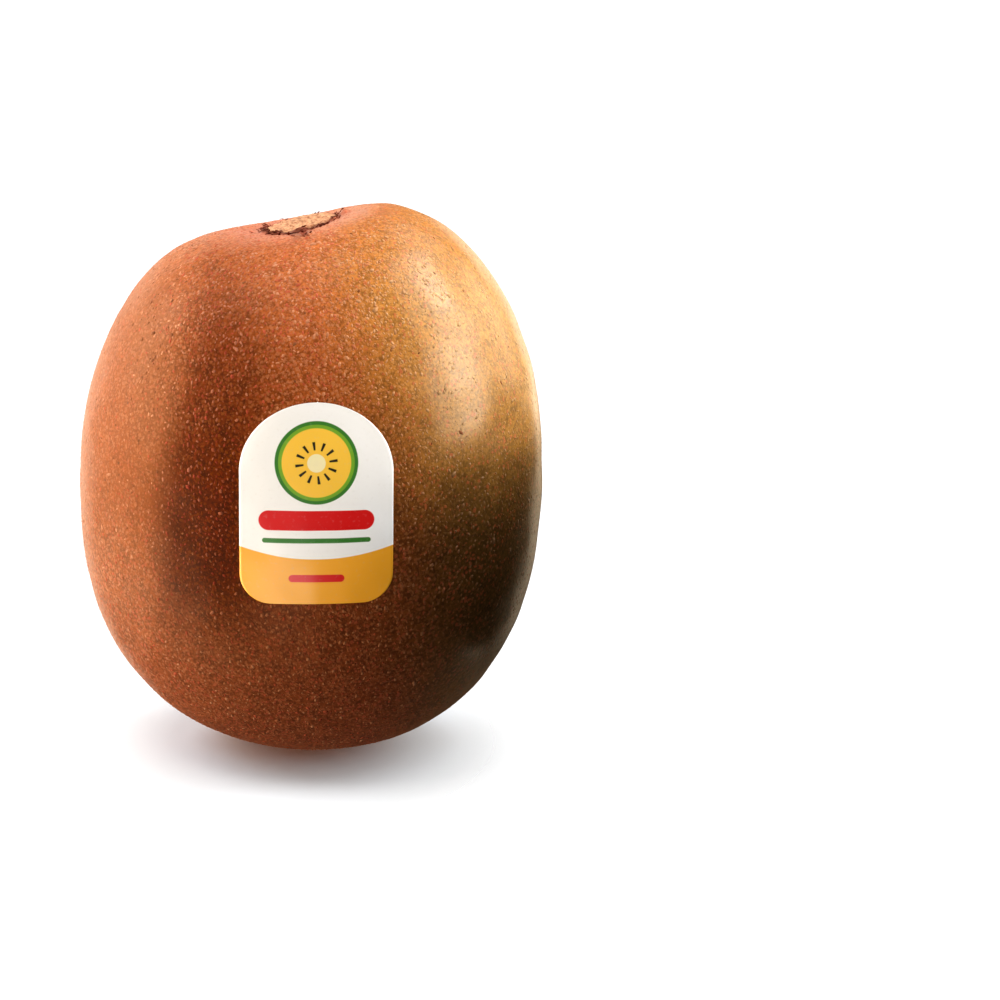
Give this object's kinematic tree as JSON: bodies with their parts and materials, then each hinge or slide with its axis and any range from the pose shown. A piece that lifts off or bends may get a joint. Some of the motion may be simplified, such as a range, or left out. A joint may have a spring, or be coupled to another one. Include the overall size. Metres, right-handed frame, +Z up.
{
  "type": "golden kiwi fruit",
  "caption": "Whole oval golden kiwi fruit with a sunken stem scar on its sloping crown, standing on its flower end, with a small arched paper label on its front.",
  "frame": {"origin": "on the surface that the fruit stands on, under the middle of its widest level", "axes": "+Z up along the fruit towards its stem scar, -Y out of the side that carries the label, +X towards the higher shoulder"},
  "size_m": [0.0568, 0.054, 0.067],
  "materials": {
    "skin": "satin, golden brown with fine scurf",
    "label": "glossy printed paper"
  },
  "bodies": {
    "root": {"kiwi_fruit": "skin", "paper_label": "label"}
  },
  "joints": []
}
